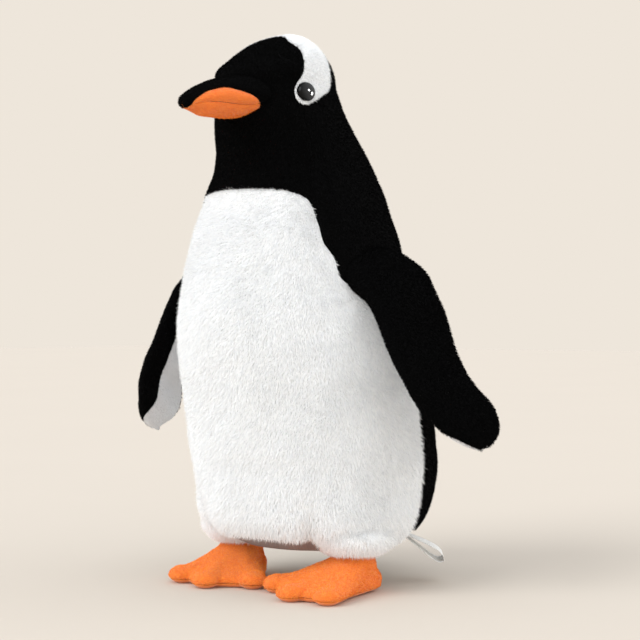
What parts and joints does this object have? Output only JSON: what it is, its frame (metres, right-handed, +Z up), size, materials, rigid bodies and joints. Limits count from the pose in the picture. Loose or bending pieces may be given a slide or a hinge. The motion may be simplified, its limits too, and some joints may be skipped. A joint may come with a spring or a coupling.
{
  "type": "plush penguin",
  "caption": "Standing stuffed plush penguin with a white bib, black back and head, orange bill and webbed feet, sewn flippers and a ribbon label.",
  "frame": {"origin": "on the floor, below the middle of the toy's box", "axes": "+Z up, -Y out of the penguin's face, +X to the penguin's left"},
  "size_m": [0.2354, 0.1864, 0.2975],
  "materials": {
    "black_plush": "short dense plush, matt with a faint sheen",
    "white_plush": "longer soft pile, matt",
    "white_velour": "smooth short velour",
    "orange_velour": "short velour with sewn channels",
    "grey_cotton": "plain woven cotton",
    "stuffing": "loose polyester fibre",
    "pellets": "pellets in a cotton bag",
    "satin_ribbon": "satin woven ribbon",
    "black_gloss": "polished",
    "clear_plastic": "moulded"
  },
  "bodies": {
    "body": {"belly_panel": "white_plush", "face_panel": "black_plush", "brow_band": "white_plush", "base_panel": "grey_cotton", "torso_filling": "stuffing", "head_filling": "stuffing", "pellet_bag": "pellets", "culmen_panel": "black_plush", "upper_bill": "orange_velour", "lower_bill": "orange_velour", "bill_filling": "stuffing", "tail_top": "black_plush", "tail_under": "black_plush", "tail_filling": "stuffing", "care_label": "satin_ribbon", "back_panel_left": "black_plush", "leg_cuff_left": "white_plush", "leg_filling_left": "stuffing", "foot_upper_left": "orange_velour", "foot_filling_left": "stuffing", "foot_sole_left": "orange_velour", "eye_left": "black_gloss", "eye_washer_left": "clear_plastic", "back_panel_right": "black_plush", "leg_cuff_right": "white_plush", "leg_filling_right": "stuffing", "foot_upper_right": "orange_velour", "foot_filling_right": "stuffing", "foot_sole_right": "orange_velour", "eye_right": "black_gloss", "eye_washer_right": "clear_plastic"},
    "flipper_left": {"flipper_outer_left": "black_plush", "flipper_lining_left": "white_velour", "flipper_wadding_left": "stuffing"},
    "flipper_right": {"flipper_outer_right": "black_plush", "flipper_lining_right": "white_velour", "flipper_wadding_right": "stuffing"}
  },
  "joints": [
    {"name": "left_shoulder", "type": "hinge", "parent": "body", "child": "flipper_left", "pos_m": [0.0599, 0.0023, 0.188], "axis": [0, -1, 0], "range_deg": [-6, 70], "stiffness_Nm_per_rad": 0.15},
    {"name": "right_shoulder", "type": "hinge", "parent": "body", "child": "flipper_right", "pos_m": [-0.0599, 0.0023, 0.188], "axis": [0, 1, 0], "range_deg": [-6, 70], "stiffness_Nm_per_rad": 0.15}
  ]
}
